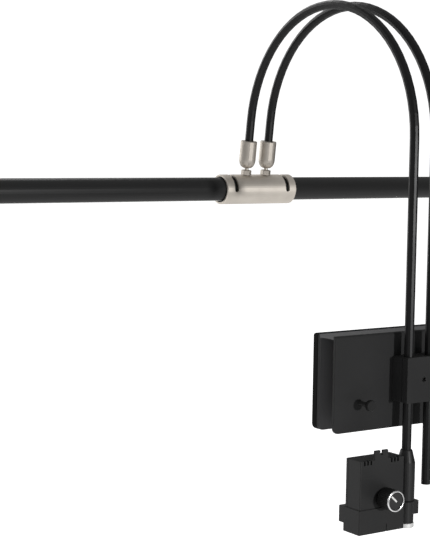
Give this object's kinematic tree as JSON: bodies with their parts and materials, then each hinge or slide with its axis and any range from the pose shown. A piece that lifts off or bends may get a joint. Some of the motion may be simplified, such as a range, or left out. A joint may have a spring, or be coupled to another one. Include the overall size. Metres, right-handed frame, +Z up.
{
  "type": "picture light",
  "caption": "Picture light: a black tubular lamp bar on bent tube arms, clamped to a bracket that hooks over a panel's top edge, with a knob dimmer and a power jack.",
  "frame": {"origin": "centre of the bracket's saddle, the face that rests on the panel's top edge", "axes": "+Z up, +X along the light bar, +Y from the clamp side of the panel to the lit side"},
  "size_m": [0.762, 0.3289, 0.5252],
  "materials": {
    "matt_coat": "matt black",
    "powder_coat": "satin black powder coat",
    "enamelled_tube": "smooth satin black",
    "moulded_plastic": "fine-textured black",
    "satin_nickel": "satin nickel plate",
    "screw_steel": "black oxide",
    "bright_steel": "bright",
    "aluminium": "bare",
    "lens": "translucent diffuser",
    "white_print": "white",
    "circuit_board": "green solder mask",
    "lead_jacket": "matt black",
    "pad_rubber": "matt black"
  },
  "bodies": {
    "bracket": {"mounting_bracket": "powder_coat", "face_plate": "matt_coat", "clamp_base": "powder_coat", "clamp_cap": "powder_coat", "clamp_screw": "screw_steel", "base_screw_upper": "screw_steel", "base_screw_lower": "screw_steel"},
    "arms": {"left_arm": "enamelled_tube", "right_arm": "enamelled_tube", "right_arm_plug": "moulded_plastic", "supply_lead": "lead_jacket", "left_ferrule": "satin_nickel", "right_ferrule": "satin_nickel", "left_hex_nut": "satin_nickel", "right_hex_nut": "satin_nickel", "left_neck": "satin_nickel", "right_neck": "satin_nickel", "hub_sleeve": "satin_nickel", "left_hub_bush": "moulded_plastic", "right_hub_bush": "moulded_plastic", "dimmer_front_shell": "moulded_plastic", "dimmer_back_shell": "moulded_plastic", "dimmer_holder": "moulded_plastic", "connector_barrel": "moulded_plastic", "jack_ring": "bright_steel", "jack_socket": "moulded_plastic", "jack_pin": "bright_steel", "dimmer_board": "circuit_board", "potentiometer": "aluminium"},
    "light_bar": {"bar_housing": "enamelled_tube", "led_carrier": "aluminium", "led_board": "white_print", "lens_strip": "lens", "left_end_cap": "enamelled_tube", "right_end_cap": "enamelled_tube", "left_stop_pin": "screw_steel", "right_stop_pin": "screw_steel"},
    "knob": {"dimmer_knob": "moulded_plastic", "knob_ring": "bright_steel", "knob_pointer": "white_print", "knob_shaft": "bright_steel"},
    "pad_left": {"pressure_pad_left": "pad_rubber"},
    "screw_left": {"thumbscrew_left": "screw_steel"},
    "pad_right": {"pressure_pad_right": "pad_rubber"},
    "screw_right": {"thumbscrew_right": "screw_steel"}
  },
  "joints": [
    {"name": "arm_height", "type": "slide", "parent": "bracket", "child": "arms", "axis": [0, 0, 1], "range_m": [-0.12, 0.04]},
    {"name": "bar_tilt", "type": "hinge", "parent": "arms", "child": "light_bar", "pos_m": [0, 0.25675, 0.13415], "axis": [1, 0, 0], "range_deg": [-80, 80]},
    {"name": "dim_level", "type": "hinge", "parent": "arms", "child": "knob", "pos_m": [-0.0493, -0.03745, -0.15385], "axis": [0, 1, 0], "range_deg": [-198, 102]},
    {"name": "screw_feed_left", "type": "slide", "parent": "bracket", "child": "pad_left", "axis": [0, 1, 0], "range_m": [0, 0.0092]},
    {"name": "screw_turn_left", "type": "hinge", "parent": "pad_left", "child": "screw_left", "pos_m": [-0.062, -0.01345, -0.06395], "axis": [0, 1, 0], "range_deg": [0, 4145]},
    {"name": "screw_feed_right", "type": "slide", "parent": "bracket", "child": "pad_right", "axis": [0, 1, 0], "range_m": [0, 0.0092]},
    {"name": "screw_turn_right", "type": "hinge", "parent": "pad_right", "child": "screw_right", "pos_m": [0.062, -0.01345, -0.06395], "axis": [0, 1, 0], "range_deg": [0, 4145]}
  ],
  "couplings": [
    {"joint": "screw_turn_left", "follows": "screw_feed_left", "rad_per_m": 7854},
    {"joint": "screw_turn_right", "follows": "screw_feed_right", "rad_per_m": 7854}
  ]
}
